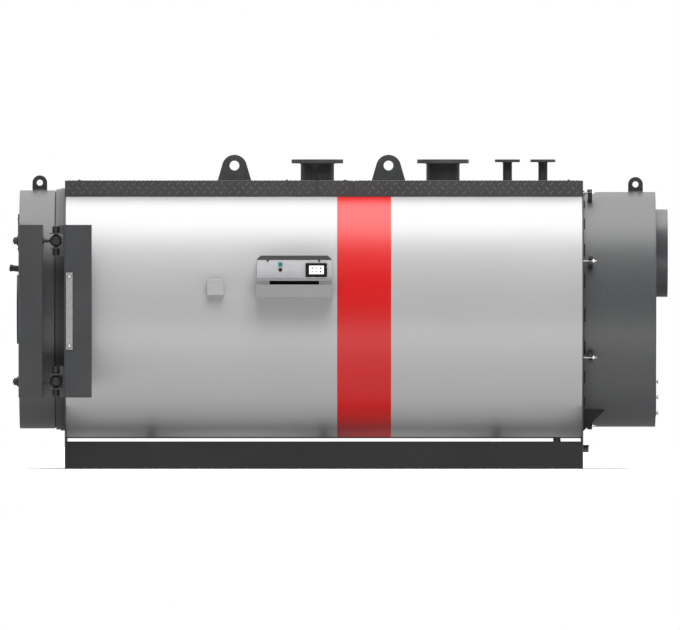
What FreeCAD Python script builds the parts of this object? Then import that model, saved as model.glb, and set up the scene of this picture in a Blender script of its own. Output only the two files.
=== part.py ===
"""Three-pass hot-water shell boiler on a skid: insulated round body, hinged burner door, rear smoke box.

Millimetres, +Z up. The boiler lies along X with its burner door at -X and its flue at +X. The origin is on the
floor under the middle of the base. The right side, which carries the control panel, is at -Y.
"""

import FreeCAD
import Part
import math
import os

V = FreeCAD.Vector

# ---- body ----
body_length = 3400.0  # over both end plates, and the length of the base
shell_r = 755.0  # outside of the pressure shell
shell_wall = 10.0
insulation_t = 82.5
casing_gap = 0.5
casing_t = 2.0
end_plate_t = 8.0
tube_sheet_t = 16.0
tube_sheet_inset = 50.0  # from an end plate's face to the tube sheet's face
casing_seams = (86.0, 440.0)  # where the front, band and rear sheets meet
casing_front_x, casing_rear_x = -body_length / 2 + end_plate_t, body_length / 2 - end_plate_t
front_x, rear_x = -body_length / 2, body_length / 2
insulation_r = shell_r + insulation_t
casing_r = insulation_r + casing_gap + casing_t

# ---- base ----
rail_h = 175.0
rail_flange = 70.0
rail_t = 8.0
base_width = 1120.0
under_gap = 31.0  # between the rails and the bottom of the casing
strip_w = 84.0
strip_t = 7.0
foot_slot_w = 400.0
foot_slot_h = 165.0
axis_z = rail_h + under_gap + casing_r

# ---- furnace and tubes ----
tube_r = 38.0
tube_wall = 3.6
tube_edge = 115.0  # from the outside of the shell to the outer circle of tubes
row_pitch = 120.0
tube_counts = (32, 26)  # on the outer and the inner circle
furnace_gap = 70.0  # from the inner tubes to the furnace
furnace_wall = 12.0
furnace_depth = 3000.0
furnace_r = shell_r - tube_edge - row_pitch - tube_r - furnace_gap - furnace_wall  # inside
fit = 0.3  # radial clearance between round pieces that seat in each other

# ---- smoke ring and door ----
ring_wall = 7.0
ring_length = 60.0
door_lap = 28.0  # how far the door's rim stands outside the pressure shell
ring_step = 7.0
ring_step_t = 29.0
ring_in = shell_r - ring_wall
door_r = shell_r + door_lap
door_gap = 6.0
door_depth = 233.0
door_plate_t = 8.0
door_rim_t = 6.0
seal_w = 20.0
seal_t = 26.0
refractory_step = 4.0  # how far the lining stops short of the rim's edge
door_back = front_x - ring_length - door_gap
door_front = door_back - door_depth
throat_r = 165.0
burner_plate_r = 227.0
burner_plate_t = 20.0
burner_hole_r = 150.0
burner_bolt_pcd = 380.0
burner_bolt_r = 8.0
burner_bolts = 4
sight_rise = 266.0  # from the boiler's axis to the foot of the sight tube
cover_w = 400.0
cover_t = 12.0
cover_below = 116.5  # between the sight tube and the cover plate
cover_above = 157.5  # between the cover plate and the top of the door
sight_r = 20.0
sight_bore = 14.0
sight_length = 70.0
sight_tilt = 6.3  # degrees, outer end up
sight_collar_wall = 3.0
sight_collar_w = 14.0
sight_collar_back = 20.0  # from the outer end to the collar

# ---- door hinges ----
post_stand = 95.0  # from the casing to the outer face of the hinge posts
hinge_inset = 45.0  # from that face to the hinge pins
beam_drop = 12.0  # the beams' middle lies this far below the axis
beam_h = 1130.0
beam_w = 156.0  # along X, on the door
post_w = 172.0  # along X, on the body
post_depth = 78.0
beam_t = 8.0
rod_rise = 461.0  # the eye bolts' height above and below the beams' middle
hinge_ahead = 54.0  # from the front end plate to the hinge pins
pin_r = 15.0
pin_fit = 0.1
ear_t = 8.0
ear_gap = 88.0
ear_w = 72.0
ear_nose = 41.0
ear_block_w = 30.0
ear_block_extra = 50.0
slot_fit = 1.5
eye_r = 38.0
eye_h = 68.0
eye_chamfer = 16.0
rod_r = 12.0
nut_af = 46.0
nut_t = 20.0
rod_past_nut = 6.0
washer_r = 32.0
washer_t = 11.0
pin_head_r = 20.0
pin_head_t = 14.0
pin_below = 20.0
hinge_y = casing_r + post_stand - hinge_inset
post_out = casing_r + post_stand
beam_z = axis_z - beam_drop
hinge_x = front_x - hinge_ahead
rod_zs = (beam_z - rod_rise, beam_z + rod_rise)

# ---- strip on the right hinge post ----
post_strip_w = 43.0
post_strip_h = 505.0
post_strip_t = 6.0
post_strip_bolt_r = 8.0
post_strip_bolt_inset = 26.0
post_strip_inset = 4.0  # from the front edge of the casing

# ---- walkway ----
walk_half = 400.0
walk_t = 5.0
walk_lip = 40.0
walk_seams = (-44.0, 194.0)
walk_cut_gap = 3.0
walk_joint = 2.0  # gap between two plates
walk_top = axis_z + casing_r + walk_t
walk_bottom = axis_z + math.sqrt(casing_r**2 - walk_half**2)
insulation_half_top = math.degrees(math.asin(walk_half / casing_r))

# ---- flanged nozzles: x, pipe radius, wall, flange radius, thickness, bolt circle, bolts, bolt radius ----
nozzle_top = 141.0  # above the walkway
large_flange = (109.55, 6.3, 170.0, 26.0, 295.0, 12, 11.0)
small_flange = (30.15, 3.6, 82.5, 18.0, 125.0, 4, 9.0)
nozzles = {
    "flow": (walk_seams[0], large_flange),
    "return": (782.0, large_flange),
    "safety_1": (1206.0, small_flange),
    "safety_2": (1439.0, small_flange),
}

# ---- lifting lugs ----
lug_xs = (-589.0, 424.0)
lug_r = 82.0
lug_rise = 90.0  # from the walkway to the middle of the lug's round top
lug_hole_r = 32.0
lug_hole_rise = 101.0
lug_half = 111.5
lug_t = 25.0
eye_plate_r = 48.5
eye_plate_rise = 50.0
eye_plate_hole = 20.0
eye_plate_t = 15.0
door_eye_inset = 130.0
smokebox_eye_inset = 129.0

# ---- rear smoke box ----
smokebox_lap = 17.0
smokebox_r = shell_r + smokebox_lap
smokebox_t = 5.0
smokebox_end_t = 8.0
smokebox_length = 473.0
rear_flange_t = 4.0
rear_flange_r = shell_r + 35.0
clamp_count = 8
clamp_r = smokebox_r + 53.0
clamp_out = clamp_r + 17.0
clamp_w = 60.0
clamp_t = 28.0
clamp_set = 28.0  # from the smoke box's front rim to the clamps
stud_r = 8.0
stud_slot = 9.0
stud_length = 91.0
stud_nut_af = 24.0
stud_nut_t = 14.0
flue_r = 288.0
flue_wall = 4.0
flue_length = 81.0
flue_margin = 114.0  # from the flue to the smoke box's rim
flue_rise = smokebox_r - flue_r - flue_margin
cover_door_w = 420.0
cover_door_h = 250.0
cover_door_t = 5.0
cover_door_margin = 69.0  # from its bottom edge to the smoke box's rim
cover_open_margin = 35.0
cover_door_drop = smokebox_r - cover_door_margin - cover_door_h / 2
wing_dy = 180.0
wing_dz = 102.4
wing_stud_r = 4.0
wing_hub_r = 7.0
wing_hub_t = 9.0
wing_span = 32.0
wing_rise = 14.0
wing_t = 3.0
wing_tip = 8.0
wing_root = 1.0
wing_stud_past = 5.0  # past the outer face of the nut
gusset_length = 143.0
gusset_h = 139.0
gusset_t = 10.0
gusset_angle = 31.0  # degrees from straight down to where the gussets meet the smoke box
smokebox_x = rear_x + rear_flange_t
smokebox_end_x = smokebox_x + smokebox_length

# ---- drain ----
drain_x = 1531.0
drain_z = 130.0
drain_r = 24.15
drain_wall = 3.25
drain_bend = 57.0
drain_end = 41.0  # beyond the rear end plate

# ---- control panel ----
panel_box_x = (-446.0, 58.0)
panel_box_rise = (78.0, 162.0)  # above the axis
panel_out = 170.0  # from the casing to the front of the lower box
console_inset = 8.0
console_rise = (199.0, 324.0)
console_set_back = 10.0
console_lean = 18.0
console_foot_w = 82.0
console_plate_t = 12.0
console_feet_set_back = 4.0
console_sill_out = 4.0
console_slot_depth = 40.0
lid_h = 28.0
lid_overhang = 4.0
lid_back = 110.0
screen_w, screen_h, screen_t = 140.0, 92.0, 10.0
screen_from_right = 30.0
screen_drop = 23.0
switch_x, switch_drop, switch_size, switch_t = -285.0, 31.0, 29.0, 6.0
knob_drop, knob_r, knob_t = 67.0, 12.0, 14.0
sensor_x, sensor_w, sensor_h, sensor_out, sensor_rise = -711.0, 110.0, 100.0, 45.0, 144.0


# ---- shapes that are used throughout ----
def box(x0, x1, y0, y1, z0, z1):
    return Part.makeBox(x1 - x0, y1 - y0, z1 - z0, V(x0, y0, z0))


def rod_x(r, x0, x1, y=0.0, z=axis_z):
    return Part.makeCylinder(r, x1 - x0, V(x0, y, z), V(1, 0, 0))


def rod_y(r, y0, y1, x, z):
    return Part.makeCylinder(r, y1 - y0, V(x, y0, z), V(0, 1, 0))


def rod_z(r, z0, z1, x, y):
    return Part.makeCylinder(r, z1 - z0, V(x, y, z0), V(0, 0, 1))


def tube_x(r_out, r_in, x0, x1, y=0.0, z=axis_z):
    return rod_x(r_out, x0, x1, y, z).cut(rod_x(r_in, x0 - 1, x1 + 1, y, z))


def prism(points, direction):
    """A closed outline of points, extruded along direction."""
    wire = Part.makePolygon([V(*p) for p in points] + [V(*points[0])])
    return Part.Face(wire).extrude(V(*direction))


def turned(profile):
    """A ring about the boiler's axis from its outline as (x, radius) points."""
    wire = Part.makePolygon([V(x, 0, axis_z + r) for x, r in profile + profile[:1]])
    return Part.Face(wire).revolve(V(0, 0, axis_z), V(1, 0, 0), 360)


def hexagon_x(af, x0, x1, y, z):
    r = af / math.sqrt(3)
    points = [
        (x0, y + r * math.cos(a), z + r * math.sin(a))
        for a in [math.radians(60 * i) for i in range(6)]
    ]
    return prism(points, (x1 - x0, 0, 0))


def fuse(solids):
    joined = solids[0].multiFuse(solids[1:])
    return joined.removeSplitter()


def mirror_y(shape):
    return shape.mirror(V(0, 0, 0), V(0, 1, 0))


# ---- base ----
def base_rail():
    """The left rail, a channel with its web outwards."""
    y = base_width / 2
    x0, x1 = casing_front_x, casing_rear_x
    outer = box(x0, x1, y - rail_flange, y, 0, rail_h)
    hollow = box(x0 - 1, x1 + 1, y - rail_flange - 1, y - rail_t, rail_t, rail_h - rail_t)
    return outer.cut(hollow)


def base_cross_members():
    """Channels laid between the rails, at the middle and towards both ends."""
    y = base_width / 2 - rail_flange
    members = []
    for x in (-body_length / 3, 0, body_length / 3):
        outer = box(x - rail_flange / 2, x + rail_flange / 2, -y, y, 0, rail_h)
        hollow = box(x - rail_flange / 2 + rail_t, x + rail_flange, -y - 1, y + 1, rail_t, rail_h - rail_t)
        members.append(outer.cut(hollow))
    return Part.makeCompound(members)


# ---- body ----
def end_plate(x0, wings):
    """The plate that closes the casing and stands on the floor; the front one also carries the hinge posts."""
    x1 = x0 + end_plate_t
    disc = rod_x(casing_r, x0, x1)
    top = box(x0, x1, -walk_half + walk_t, walk_half - walk_t, axis_z, walk_top - walk_t)
    half = base_width / 2
    lean = math.asin(half / casing_r)
    shoulder_z = axis_z - casing_r * math.cos(lean)
    foot = box(x0, x1, -half, half, 0, shoulder_z)
    slot = box(x0 - 1, x1 + 1, -foot_slot_w / 2, foot_slot_w / 2, -1, foot_slot_h)
    solids = [disc, top, foot]
    if wings:
        solids.append(box(x0, x1, -post_out, post_out, beam_z - beam_h / 2, beam_z + beam_h / 2))
    plate = fuse(solids).cut(slot)
    return plate.cut(rod_x(shell_r + fit, x0 - 1, x1 + 1))


def wrapped(r_out, r_in, x0, x1):
    """A jacket about the body that is open under the walkway."""
    ring = tube_x(r_out, r_in, x0, x1)
    reach = 2 * casing_r
    a = math.radians(insulation_half_top)
    wedge = prism(
        [
            (x0 - 1, 0, axis_z),
            (x0 - 1, reach * math.tan(a), axis_z + reach),
            (x0 - 1, -reach * math.tan(a), axis_z + reach),
        ],
        (x1 - x0 + 2, 0, 0),
    )
    return ring.cut(wedge)


def drain_hole():
    return rod_z(drain_r + walk_cut_gap, 0, axis_z, drain_x, 0)


def casing(x0, x1):
    return wrapped(casing_r, casing_r - casing_t, x0, x1).cut(drain_hole())


def insulation():
    return wrapped(insulation_r, shell_r + casing_gap, casing_front_x, casing_rear_x).cut(drain_hole())


def casing_bottom_strip():
    """The strip that covers the joint of the casing sheets along the bottom."""
    bottom = axis_z - casing_r - strip_t
    bar = box(casing_front_x, casing_rear_x, -strip_w / 2, strip_w / 2, bottom, bottom + 2 * strip_t)
    return bar.cut(rod_x(casing_r, casing_front_x - 1, casing_rear_x + 1)).cut(drain_hole())


def pressure_shell():
    x0, x1 = front_x + tube_sheet_inset, rear_x - tube_sheet_inset
    shell = tube_x(shell_r, shell_r - shell_wall, x0, x1)
    for x, (pipe_r, *_rest) in nozzles.values():
        shell = shell.cut(rod_z(pipe_r + fit, axis_z, walk_top, x, 0))
    return shell.cut(rod_z(drain_r + fit, 0, axis_z, drain_x, 0))


def tube_places():
    for row, count in enumerate(tube_counts):
        circle_r = shell_r - tube_edge - row * row_pitch
        for i in range(count):
            a = 2 * math.pi * i / count
            yield circle_r * math.sin(a), axis_z + circle_r * math.cos(a)


def tube_sheet(x0, furnace_hole):
    x1 = x0 + tube_sheet_t
    sheet = rod_x(shell_r - shell_wall - fit, x0, x1)
    holes = [rod_x(tube_r + fit, x0 - 1, x1 + 1, y, z) for y, z in tube_places()]
    if furnace_hole:
        holes.append(rod_x(furnace_r + furnace_wall + fit, x0 - 1, x1 + 1))
    return sheet.cut(Part.makeCompound(holes))


def fire_tubes():
    x0, x1 = front_x + tube_sheet_inset - 5, rear_x - tube_sheet_inset + 5
    return Part.makeCompound([tube_x(tube_r, tube_r - tube_wall, x0, x1, y, z) for y, z in tube_places()])


def furnace():
    """The combustion tube, closed at its rear end so that the gas turns back to the door."""
    x0 = front_x + tube_sheet_inset
    x1 = x0 + furnace_depth
    return rod_x(furnace_r + furnace_wall, x0, x1).cut(rod_x(furnace_r, x0 - 1, x1 - furnace_wall))


def front_smoke_ring():
    """The stepped ring that the door closes on, with its neck through the front end plate to the shell."""
    x0 = front_x - ring_length
    step1, step2 = door_r + ring_step, door_r + 2 * ring_step
    return turned(
        [
            (x0, ring_in),
            (x0, step1),
            (x0 + ring_step_t, step1),
            (x0 + ring_step_t, step2),
            (front_x, step2),
            (front_x, shell_r),
            (front_x + tube_sheet_inset, shell_r),
            (front_x + tube_sheet_inset, ring_in),
        ]
    )


def rear_smoke_ring():
    x0 = rear_x - tube_sheet_inset
    return turned(
        [
            (x0, ring_in),
            (x0, shell_r),
            (rear_x, shell_r),
            (rear_x, rear_flange_r),
            (smokebox_x, rear_flange_r),
            (smokebox_x, ring_in),
        ]
    )


# ---- door ----
def sight_bore_cut(r, reach):
    """A cylinder along the sight tube's leaning axis, from reach in front of the door to behind the lining."""
    a = math.radians(sight_tilt)
    direction = V(-math.cos(a), 0, math.sin(a))
    start = V(door_front, 0, axis_z + sight_rise) - direction * (2 * door_depth)
    return Part.makeCylinder(r, 2 * door_depth + reach, start, direction)


def door_shell():
    """The door's steel pan: a front plate with a wing to each hinge beam, and a rim round the lining."""
    plate_back = door_front + door_plate_t
    disc = rod_x(door_r, door_front, plate_back)
    wings = box(door_front, plate_back, -post_out, post_out, beam_z - beam_h / 2, beam_z + beam_h / 2)
    rim = tube_x(door_r, door_r - door_rim_t, door_front, door_back)
    pan = fuse([disc, wings, rim]).cut(rod_x(throat_r, door_front - 1, plate_back + 1))
    rods = [rod_x(rod_r + fit, door_front - 1, plate_back + 1, s * hinge_y, z) for s in (-1, 1) for z in rod_zs]
    return pan.cut(Part.makeCompound(rods)).cut(sight_bore_cut(sight_bore, 30))


def door_refractory():
    """The cast lining, with the round throat for the burner's tube and the hole that the sight tube looks through."""
    x0, x1 = door_front + door_plate_t, door_back - refractory_step
    r = door_r - door_rim_t - casing_gap
    block = rod_x(r, x0, x1)
    groove = tube_x(r + 1, r - seal_w, x1 - seal_t, x1 + 1)
    throat = rod_x(throat_r, x0 - 1, x1 + 1)
    return block.cut(groove).cut(throat).cut(sight_bore_cut(sight_bore, 1))


def door_seal():
    """The fibre rope in the lining's groove, which closes on the smoke ring."""
    x0 = door_back - refractory_step - seal_t
    r = door_r - door_rim_t - 2 * casing_gap
    return tube_x(r, r - seal_w + 2 * casing_gap, x0, front_x - ring_length - fit)


def door_beam():
    """The left one of the folded box beams that tie the hinge rods to the door's rim."""
    z0, z1 = beam_z - beam_h / 2, beam_z + beam_h / 2
    x0, x1 = door_front + door_plate_t, door_front + beam_w
    web = box(x0, x1, post_out - beam_t, post_out, z0, z1)
    back = box(x1 - beam_t, x1, 0, post_out, z0, z1).cut(rod_x(door_r + fit, x0, x1 + 1))
    back = max(back.Solids, key=lambda s: s.CenterOfMass.y)
    caps = [box(x0, x1, post_out - post_depth, post_out, z, z + beam_t) for z in (z0, z1 - beam_t)]
    beam = fuse([web, back] + caps)
    for z in rod_zs:
        beam = beam.cut(rod_x(rod_r + fit, x0, x1 + 1, hinge_y, z))
    return beam


def eye_bolt(z, with_pin):
    """An eye on its vertical pin, and the threaded rod that runs through the beam to a nut in front."""
    y = hinge_y
    eye = rod_z(eye_r, z - eye_h / 2, z + eye_h / 2, hinge_x, y)
    rims = [e for e in eye.Edges if isinstance(e.Curve, Part.Circle)]
    eye = eye.makeChamfer(eye_chamfer, rims)
    rod = rod_x(rod_r, door_front - washer_t - nut_t - rod_past_nut, hinge_x, y, z)
    nut = hexagon_x(nut_af, door_front - washer_t - nut_t, door_front - washer_t, y, z)
    washer = rod_x(washer_r, door_front - washer_t, door_front, y, z)
    lock = hexagon_x(nut_af, door_front + beam_w, door_front + beam_w + nut_t / 2, y, z)
    bolt = fuse([eye, rod, nut, washer, lock])
    if with_pin:
        return fuse([bolt, hinge_pin(z, y)])
    return bolt.cut(rod_z(pin_r + pin_fit, z - eye_h, z + eye_h, hinge_x, y))


def door_eye_bolts():
    """The right pair turns on the hinge pins; the left pair carries its own pins out of the open ears."""
    left = [eye_bolt(z, with_pin=True) for z in rod_zs]
    right = [mirror_y(eye_bolt(z, with_pin=False)) for z in rod_zs]
    return Part.makeCompound(left + right)


def hinge_pin(z, y):
    top = z + ear_gap / 2 + ear_t + fit
    shank = rod_z(pin_r, z - ear_gap / 2 - ear_t - pin_below, top, hinge_x, y)
    head = rod_z(pin_head_r, top, top + pin_head_t, hinge_x, y)
    return fuse([shank, head])


def hinge_pins():
    return mirror_y(Part.makeCompound([hinge_pin(z, hinge_y) for z in rod_zs]))


def hinge_ear(z0, open_front):
    """One ear of a fork, bored for its pin, or slotted so that the pin can leave it to the front."""
    hole_r = pin_r + (slot_fit if open_front else pin_fit)
    ear = box(hinge_x - ear_nose, front_x, hinge_y - ear_w / 2, hinge_y + ear_w / 2, z0, z0 + ear_t)
    cut = rod_z(hole_r, z0 - 1, z0 + ear_t + 1, hinge_x, hinge_y)
    if open_front:
        mouth_x = hinge_x - ear_nose - 1
        cut = cut.fuse(box(mouth_x, hinge_x, hinge_y - hole_r, hinge_y + hole_r, z0 - 1, z0 + ear_t + 1))
    return ear.cut(cut)


def hinge_fork(z, open_front):
    """Two ears on the front end plate, a block above and a block below them, and the plate that joins them."""
    y0, y1 = hinge_y - ear_w / 2, hinge_y + ear_w / 2
    below, above = z - ear_gap / 2 - ear_t, z + ear_gap / 2
    block_x = front_x - ear_block_w
    return fuse(
        [
            hinge_ear(below, open_front),
            hinge_ear(above, open_front),
            box(block_x, front_x, y0, y1, below - ear_block_extra, below),
            box(block_x, front_x, y0, y1, above + ear_t, above + ear_t + ear_block_extra),
            box(front_x - ear_t, front_x, y0, y1, below, above),
        ]
    )


def hinge_ears():
    """The forks of the door's hinge on the right, and on the left the open ones that its clamping pins drop in."""
    left = [hinge_fork(z, open_front=True) for z in rod_zs]
    right = [mirror_y(hinge_fork(z, open_front=False)) for z in rod_zs]
    return Part.makeCompound(left + right)


def hinge_post():
    """The left one of the folded boxes behind the front end plate's wings, closed at top and bottom."""
    z0, z1 = beam_z - beam_h / 2, beam_z + beam_h / 2
    x0, x1 = casing_front_x, casing_front_x + post_w
    outer = box(x0, x1, post_out - post_depth, post_out, z0, z1)
    hollow = box(x0 - 1, x1 - beam_t, post_out - post_depth - 1, post_out - beam_t, z0 + beam_t, z1 - beam_t)
    return outer.cut(hollow)


def post_strip():
    """A bare metal strip held on the right hinge post by a bolt at each end."""
    x0 = casing_front_x + post_strip_inset
    x1 = x0 + post_strip_w
    z0, z1 = beam_z - post_strip_h / 2, beam_z + post_strip_h / 2
    y = -post_out
    solids = [box(x0, x1, y - post_strip_t, y, z0, z1)]
    for z in (z0 + post_strip_bolt_inset, z1 - post_strip_bolt_inset):
        head_y = y - 2 * post_strip_t
        solids.append(rod_y(post_strip_bolt_r, head_y, y, (x0 + x1) / 2, z))
    return fuse(solids)


def burner_plate():
    plate = rod_x(burner_plate_r, door_front - burner_plate_t, door_front)
    plate = plate.cut(rod_x(burner_hole_r, door_front - burner_plate_t - 1, door_front + 1))
    for i in range(burner_bolts):
        a = math.radians(45 + 360 / burner_bolts * i)
        y, z = burner_bolt_pcd / 2 * math.cos(a), axis_z + burner_bolt_pcd / 2 * math.sin(a)
        plate = plate.cut(rod_x(burner_bolt_r, door_front - burner_plate_t - 1, door_front + 1, y, z))
    return plate


def door_cover_plate():
    z0, z1 = axis_z + sight_rise + cover_below, axis_z + door_r - cover_above
    return box(door_front - cover_t, door_front, -cover_w / 2, cover_w / 2, z0, z1)


def sight_tube():
    """The flame peephole: a tube that leans down into the door, with a collar at its outer end."""
    a = math.radians(sight_tilt)
    direction = V(-math.cos(a), 0, math.sin(a))
    root = V(door_front, 0, axis_z + sight_rise)
    tube = Part.makeCylinder(sight_r, 2 * sight_length, root - direction * sight_length, direction)
    collar_foot = root + direction * (sight_length - sight_collar_back)
    collar = Part.makeCylinder(sight_r + sight_collar_wall, sight_collar_w, collar_foot, direction)
    tube = fuse([tube, collar]).cut(sight_bore_cut(sight_bore, 2 * sight_length))
    return tube.cut(box(door_front, door_back, -100, 100, axis_z, axis_z + casing_r))


# ---- lifting ----
def tangent_point(px, pz, r):
    """Where the line from (px, pz) touches the circle of radius r about the origin, on its right side."""
    a = math.atan2(pz, px) + math.acos(r / math.hypot(px, pz))
    return r * math.cos(a), r * math.sin(a)


def lug_outline(x, y, foot_z, half, r, arc_z, shoulder_z):
    """Face of a lug: a round top of radius r about arc_z, sides that lean out to half at shoulder_z, then straight."""
    tx, tz = tangent_point(half, shoulder_z - arc_z, r)
    left, right = V(x - tx, y, arc_z + tz), V(x + tx, y, arc_z + tz)
    arc = Part.Arc(left, V(x, y, arc_z + r), right).toShape()
    foot = [V(x + half, y, shoulder_z), V(x + half, y, foot_z), V(x - half, y, foot_z), V(x - half, y, shoulder_z)]
    corners = [right] + foot + [left]
    lines = [Part.LineSegment(a, b).toShape() for a, b in zip(corners, corners[1:])]
    return Part.Face(Part.Wire([arc] + lines))


def lifting_lug(x):
    """One of the thick lugs that rise from the shell through the walkway."""
    face = lug_outline(x, -lug_t / 2, axis_z, lug_half, lug_r, walk_top + lug_rise, walk_top)
    lug = face.extrude(V(0, lug_t, 0)).cut(rod_x(shell_r, x - 2 * lug_half, x + 2 * lug_half))
    return lug.cut(rod_y(lug_hole_r, -lug_t, lug_t, x, walk_top + lug_hole_rise))


def eye_plate(x, foot_z):
    """A small lifting eye: a plate with a round top, standing along the boiler."""
    arc_z = foot_z + eye_plate_rise
    half_t = eye_plate_t / 2
    foot = box(x - eye_plate_r, x + eye_plate_r, -half_t, half_t, foot_z, arc_z)
    eye = fuse([foot, rod_y(eye_plate_r, -half_t, half_t, x, arc_z)])
    return eye.cut(rod_y(eye_plate_hole, -eye_plate_t, eye_plate_t, x, arc_z))


# ---- walkway and nozzles ----
def walkway_plates():
    """Three plates end to end, meeting at the seams with a small gap."""
    gap = walk_joint / 2
    starts = [front_x] + [x + gap for x in walk_seams]
    ends = [x - gap for x in walk_seams] + [rear_x]
    return Part.makeCompound([walkway_plate(x0, x1) for x0, x1 in zip(starts, ends)])


def walkway_plate(x0, x1):
    """A folded tray over the body: a flat top, a fascia down to the casing on each side, and a lip turned in."""
    outer = box(x0, x1, -walk_half, walk_half, walk_bottom, walk_top)
    hollow = box(x0 - 1, x1 + 1, walk_t - walk_half, walk_half - walk_t, walk_bottom - 1, walk_top - walk_t)
    tray = outer.cut(hollow)
    for x, (pipe_r, *_rest) in nozzles.values():
        tray = tray.cut(rod_z(pipe_r + walk_cut_gap, walk_bottom, walk_top + 1, x, 0))
    for x in lug_xs:
        half_x, half_y = lug_half + walk_cut_gap, lug_t / 2 + walk_cut_gap
        tray = tray.cut(box(x - half_x, x + half_x, -half_y, half_y, walk_bottom, walk_top + 1))
    return tray.cut(rod_x(casing_r, x0 - 1, x1 + 1))


def nozzle(x, flange):
    pipe_r, wall, flange_r, flange_t, pcd, bolts, bolt_r = flange
    top = walk_top + nozzle_top
    root = axis_z + math.sqrt((shell_r - shell_wall) ** 2 - pipe_r**2) - shell_wall
    solid = fuse([rod_z(pipe_r, root, top, x, 0), rod_z(flange_r, top - flange_t, top, x, 0)])
    solid = solid.cut(rod_z(pipe_r - wall, root - 1, top + 1, x, 0))
    for i in range(bolts):
        a = math.pi / bolts * (2 * i + 1)
        bx, by = x + pcd / 2 * math.cos(a), pcd / 2 * math.sin(a)
        solid = solid.cut(rod_z(bolt_r, top - flange_t - 1, top + 1, bx, by))
    return solid


# ---- rear smoke box ----
def smokebox_shell():
    return tube_x(smokebox_r, smokebox_r - smokebox_t, smokebox_x, smokebox_end_x - smokebox_end_t)


def smokebox_end():
    x0, x1 = smokebox_end_x - smokebox_end_t, smokebox_end_x
    plate = rod_x(smokebox_r, x0, x1)
    plate = plate.cut(rod_x(flue_r + fit, x0 - 1, x1 + 1, 0, axis_z + flue_rise))
    z, m = axis_z - cover_door_drop, cover_open_margin
    half_w, half_h = cover_door_w / 2 - 2 * m, cover_door_h / 2 - m
    return plate.cut(box(x0 - 1, x1 + 1, -half_w, half_w, z - half_h, z + half_h))


def flue_socket():
    x0 = smokebox_end_x - smokebox_end_t
    return tube_x(flue_r, flue_r - flue_wall, x0, smokebox_end_x + flue_length, 0, axis_z + flue_rise)


def cleaning_cover():
    z, x = axis_z - cover_door_drop, smokebox_end_x
    return box(
        x, x + cover_door_t, -cover_door_w / 2, cover_door_w / 2, z - cover_door_h / 2, z + cover_door_h / 2
    )


def wing_nuts():
    """Studs with wing nuts that hold the cleaning cover, three a side."""
    x = smokebox_end_x + cover_door_t
    nuts = []
    for y in (-wing_dy, wing_dy):
        for step in (-1, 0, 1):
            z = axis_z - cover_door_drop + step * wing_dz
            hub = rod_x(wing_hub_r, x, x + wing_hub_t, y, z)
            stud = rod_x(wing_stud_r, x, x + wing_hub_t + wing_stud_past, y, z)
            wings = [
                prism(
                    [
                        (x + wing_root, y - wing_t / 2, z),
                        (x + wing_rise, y - wing_t / 2, z + s * wing_span / 2),
                        (x + wing_rise, y - wing_t / 2, z + s * (wing_span / 2 - wing_tip)),
                        (x + wing_hub_t, y - wing_t / 2, z),
                    ],
                    (0, wing_t, 0),
                )
                for s in (-1, 1)
            ]
            nuts.append(fuse([hub, stud] + wings))
    return Part.makeCompound(nuts)


def clamp_places():
    for i in range(clamp_count):
        a = 2 * math.pi * (i + 0.5) / clamp_count
        yield math.degrees(a), clamp_r * math.sin(a), axis_z + clamp_r * math.cos(a)


def at_clamps(shape):
    """A shape made at the top of the smoke box, repeated at every clamp."""
    made = []
    for degrees, _y, _z in clamp_places():
        copy = shape.copy()
        copy.rotate(V(0, 0, axis_z), V(1, 0, 0), -degrees)
        made.append(copy)
    return Part.makeCompound(made)


def smokebox_clamps():
    """Forked lugs round the smoke box's front edge, each open outwards for its stud."""
    x0 = smokebox_x + clamp_set
    block = box(x0, x0 + clamp_t, -clamp_w / 2, clamp_w / 2, axis_z, axis_z + clamp_out)
    block = block.cut(rod_x(smokebox_r, x0 - 1, x0 + clamp_t + 1))
    slot = box(x0 - 1, x0 + clamp_t + 1, -stud_slot, stud_slot, axis_z + clamp_r, axis_z + clamp_out + 1)
    block = block.cut(slot).cut(rod_x(stud_slot, x0 - 1, x0 + clamp_t + 1, 0, axis_z + clamp_r))
    return at_clamps(block)


def smokebox_studs():
    x_nut = smokebox_x + clamp_set + clamp_t
    z = axis_z + clamp_r
    stud = rod_x(stud_r, rear_x, rear_x + stud_length, 0, z)
    nut = hexagon_x(stud_nut_af, x_nut, x_nut + stud_nut_t, 0, z)
    return at_clamps(fuse([stud, nut]))


def smokebox_gusset():
    """The left one of the triangular plates on the rear end plate that carry the smoke box on their top edges."""
    z = axis_z - smokebox_r * math.cos(math.radians(gusset_angle))
    y = smokebox_r * math.sin(math.radians(gusset_angle)) + fit
    triangle = [(rear_x, y, z), (rear_x + gusset_length, y, z), (rear_x, y, z - gusset_h)]
    return prism(triangle, (0, gusset_t, 0)).cut(rod_x(rear_flange_r + fit, rear_x, smokebox_x))


# ---- drain ----
def drain_pipe():
    """A pipe from the bottom of the shell that bends to the rear between the rails."""
    top = axis_z - math.sqrt((shell_r - shell_wall) ** 2 - drain_r**2)
    bend_z = drain_z + drain_bend
    bend_x = drain_x + drain_bend
    s = drain_bend * math.sqrt(0.5)
    arc = Part.Arc(V(drain_x, 0, bend_z), V(bend_x - s, 0, bend_z - s), V(bend_x, 0, drain_z))
    lines = [
        Part.LineSegment(V(drain_x, 0, top), V(drain_x, 0, bend_z)),
        Part.LineSegment(V(bend_x, 0, drain_z), V(rear_x + drain_end, 0, drain_z)),
    ]
    path = Part.Wire([lines[0].toShape(), arc.toShape(), lines[1].toShape()])

    def swept(r):
        ring = Part.Wire([Part.makeCircle(r, V(drain_x, 0, top), V(0, 0, -1))])
        return path.makePipeShell([ring], True, False)

    return swept(drain_r).cut(swept(drain_r - drain_wall))


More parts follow.
